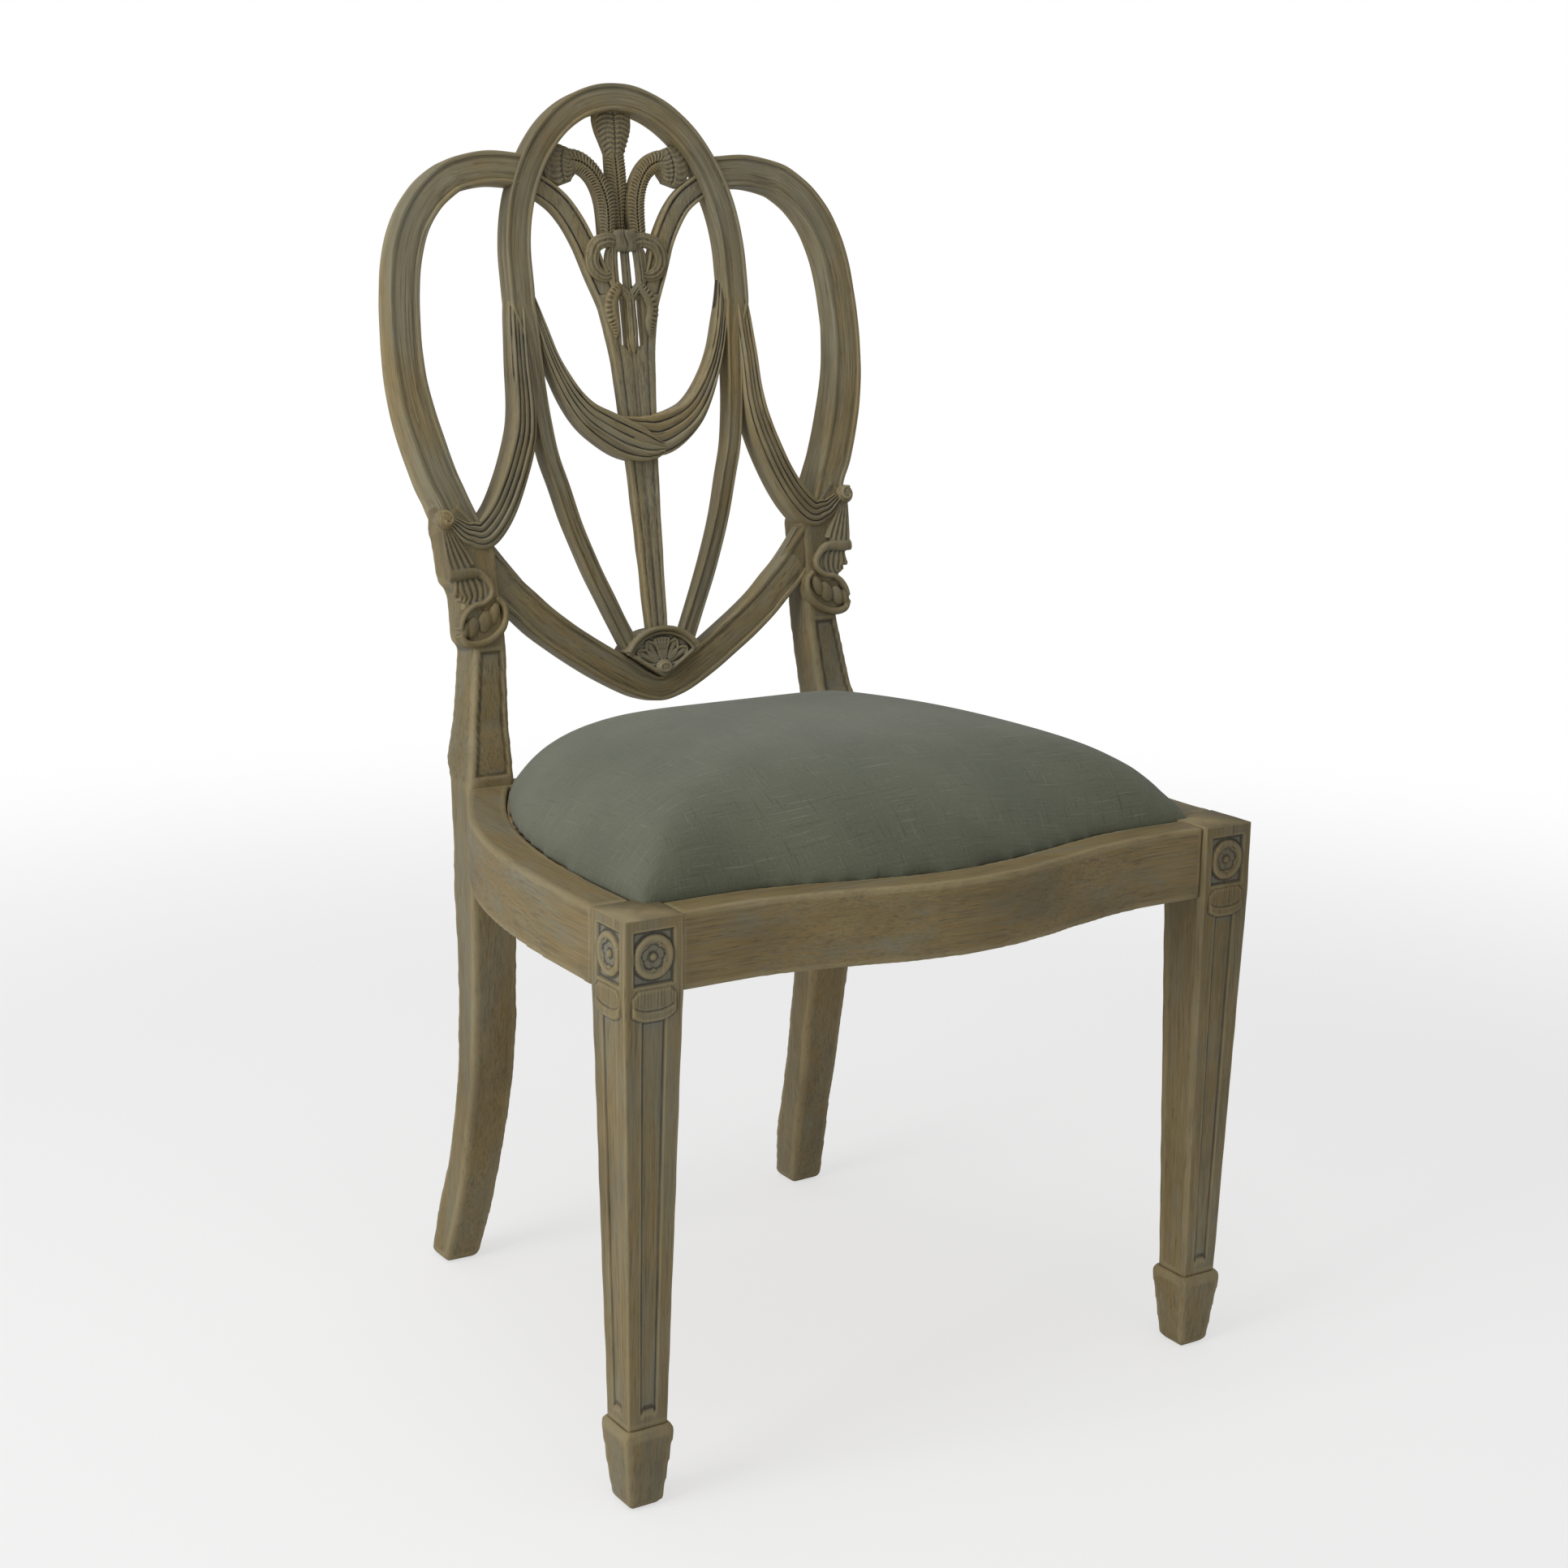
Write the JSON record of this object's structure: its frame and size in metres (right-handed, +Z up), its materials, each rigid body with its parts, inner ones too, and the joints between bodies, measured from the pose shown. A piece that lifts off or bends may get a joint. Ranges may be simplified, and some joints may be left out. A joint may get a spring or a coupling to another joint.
{
  "type": "side chair",
  "caption": "Side chair with an interlaced shield back, carved drapery and splat, serpentine seat frame, spade feet and a drop-in cushion.",
  "frame": {"origin": "centre of the chair's footprint box, on the floor", "axes": "+Z up, -Y out of the front of the seat, +X to the right of someone who faces the chair from the front; pieces named right lie at +X"},
  "size_m": [0.5724, 0.5698, 1.014],
  "materials": {
    "frame_wood": "grey-brown distressed wash over tan wood, rubbed bare along edges",
    "carved_wood": "grey-brown distressed wash, dark in the grooves of the carving",
    "inner_wood": "bare sawn wood and plywood",
    "seat_cloth": "plain linen weave, grey-green",
    "screws": "zinc plated"
  },
  "bodies": {
    "root": {"front_leg_right": "frame_wood", "front_leg_left": "frame_wood", "spade_foot_right": "frame_wood", "spade_foot_left": "frame_wood", "rear_leg_right": "frame_wood", "rear_leg_left": "frame_wood", "front_seat_rail": "frame_wood", "side_seat_rail_right": "frame_wood", "side_seat_rail_left": "frame_wood", "rear_seat_rail": "frame_wood", "front_corner_block_right": "inner_wood", "front_corner_block_left": "inner_wood", "rear_corner_block_right": "inner_wood", "rear_corner_block_left": "inner_wood", "front_rail_screw_right": "screws", "front_rail_screw_left": "screws", "front_side_screw_right": "screws", "front_side_screw_left": "screws", "front_seat_screw_right": "screws", "front_seat_screw_left": "screws", "rear_rail_screw_right": "screws", "rear_rail_screw_left": "screws", "rear_side_screw_right": "screws", "rear_side_screw_left": "screws", "rear_seat_screw_right": "screws", "rear_seat_screw_left": "screws", "seat_board": "inner_wood", "seat_cushion": "seat_cloth", "hoop": "carved_wood", "hoop_rib_right": "carved_wood", "hoop_rib_left": "carved_wood", "shield_lobe_right": "carved_wood", "shield_lobe_left": "carved_wood", "shield_foot_rail": "carved_wood", "splat": "carved_wood", "plumes": "carved_wood", "ribbon_bow": "carved_wood", "centre_swag": "carved_wood", "outer_swag_right": "carved_wood", "outer_swag_left": "carved_wood", "swag_knot_right": "carved_wood", "swag_knot_left": "carved_wood"}
  },
  "joints": []
}
